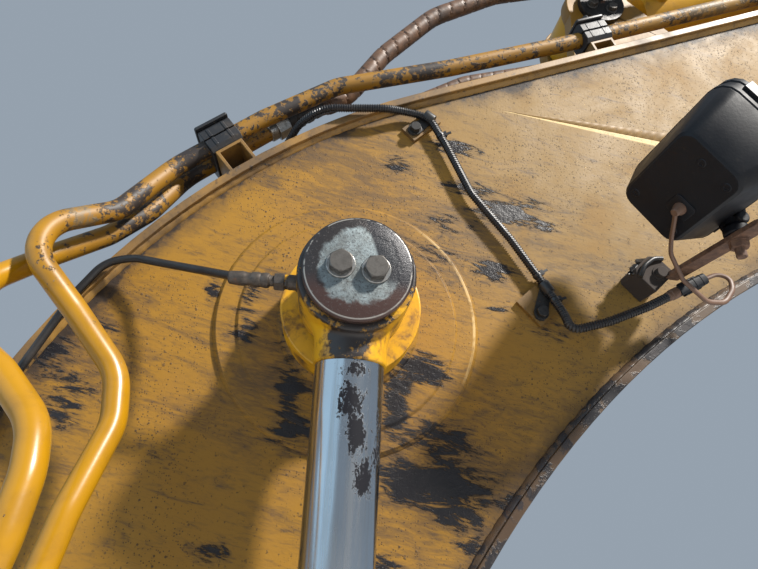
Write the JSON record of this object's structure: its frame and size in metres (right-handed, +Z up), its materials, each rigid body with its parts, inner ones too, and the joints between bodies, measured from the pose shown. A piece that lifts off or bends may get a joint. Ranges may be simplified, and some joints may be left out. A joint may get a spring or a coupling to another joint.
{
  "type": "excavator boom",
  "caption": "Bent box-section excavator boom with two lift cylinders pinned to its sides, an arm cylinder on top, oil pipes, hoses, wiring loom and a work lamp.",
  "frame": {"origin": "centre of the boom foot bore, in the boom's middle plane", "axes": "+X forward toward the boom tip, +Y to the machine's left, +Z up; the lift cylinders hang straight down at rest"},
  "size_m": [4.0995, 1.0474, 4.5846],
  "materials": {
    "boom_yellow": "weathered ochre paint with grease smears",
    "bright_yellow": "glossier yellow paint, worn",
    "rod_chrome": "polished chrome with patches of black grease",
    "pin_steel": "dull steel, stained brown at the rim",
    "rusted_steel": "rusted steel bar and plates",
    "clamp_plastic": "black clamp blocks",
    "loom_plastic": "black corrugated loom",
    "lamp_plastic": "black lamp housing",
    "lamp_glass": "clear lamp glass",
    "hose_rubber": "black rubber hose",
    "guarded_hose": "hose in a brown spiral guard"
  },
  "bodies": {
    "boom": {"side_plate_right": "boom_yellow", "side_plate_left": "boom_yellow", "top_plate": "boom_yellow", "belly_plate": "boom_yellow", "foot_boss": "boom_yellow", "tip_bulkhead": "boom_yellow", "tip_ears": "boom_yellow", "lift_boss": "bright_yellow", "boss_rings_right": "boom_yellow", "boss_rings_left": "boom_yellow", "lift_pin": "pin_steel", "pin_cap_right": "pin_steel", "pin_cap_left": "pin_steel", "arm_bracket": "boom_yellow", "arm_pin": "pin_steel", "inner_pipe_right": "bright_yellow", "inner_pipe_left": "bright_yellow", "outer_pipe_right": "bright_yellow", "outer_pipe_left": "bright_yellow", "clamp_blocks": "clamp_plastic", "clamp_brackets": "boom_yellow", "loom": "loom_plastic", "loom_clips": "rusted_steel", "loom_plug": "loom_plastic", "lamp_housing": "lamp_plastic", "lamp_glass": "lamp_glass", "lamp_bar": "rusted_steel", "arm_hose_right": "guarded_hose", "arm_hose_left": "guarded_hose", "grease_hose_right": "hose_rubber", "grease_hose_left": "hose_rubber"},
    "lift_rod_right": {"lift_eye_right": "bright_yellow", "lift_rod_right": "rod_chrome"},
    "lift_barrel_right": {"lift_barrel_right": "bright_yellow", "lift_gland_right": "bright_yellow"},
    "lift_rod_left": {"lift_eye_left": "bright_yellow", "lift_rod_left": "rod_chrome"},
    "lift_barrel_left": {"lift_barrel_left": "bright_yellow", "lift_gland_left": "bright_yellow"},
    "arm_barrel": {"arm_cyl_barrel": "bright_yellow", "arm_cyl_gland": "bright_yellow"},
    "arm_rod": {"arm_cyl_rod": "rod_chrome", "arm_cyl_eye": "bright_yellow"}
  },
  "joints": [
    {"name": "lift_swing_right", "type": "hinge", "parent": "boom", "child": "lift_rod_right", "pos_m": [0.74733, -0.367, 2.17569], "axis": [0, 1, 0], "range_deg": [-5, 16], "deforming": ["grease_hose_right"]},
    {"name": "lift_slide_right", "type": "slide", "parent": "lift_rod_right", "child": "lift_barrel_right", "axis": [0, 0, 1], "range_m": [-0.605, 0.655]},
    {"name": "lift_swing_left", "type": "hinge", "parent": "boom", "child": "lift_rod_left", "pos_m": [0.74733, 0.367, 2.17569], "axis": [0, 1, 0], "range_deg": [-5, 16], "deforming": ["grease_hose_left"]},
    {"name": "lift_slide_left", "type": "slide", "parent": "lift_rod_left", "child": "lift_barrel_left", "axis": [0, 0, 1], "range_m": [-0.605, 0.655]},
    {"name": "arm_cylinder_swing", "type": "hinge", "parent": "boom", "child": "arm_barrel", "pos_m": [1.30387, 0, 3.05545], "axis": [0, -1, 0], "range_deg": [0, 22], "deforming": ["arm_hose_right", "arm_hose_left"]},
    {"name": "arm_cylinder_slide", "type": "slide", "parent": "arm_barrel", "child": "arm_rod", "axis": [0.8944, 0, 0.4472], "range_m": [-0.25, 1.2]}
  ]
}
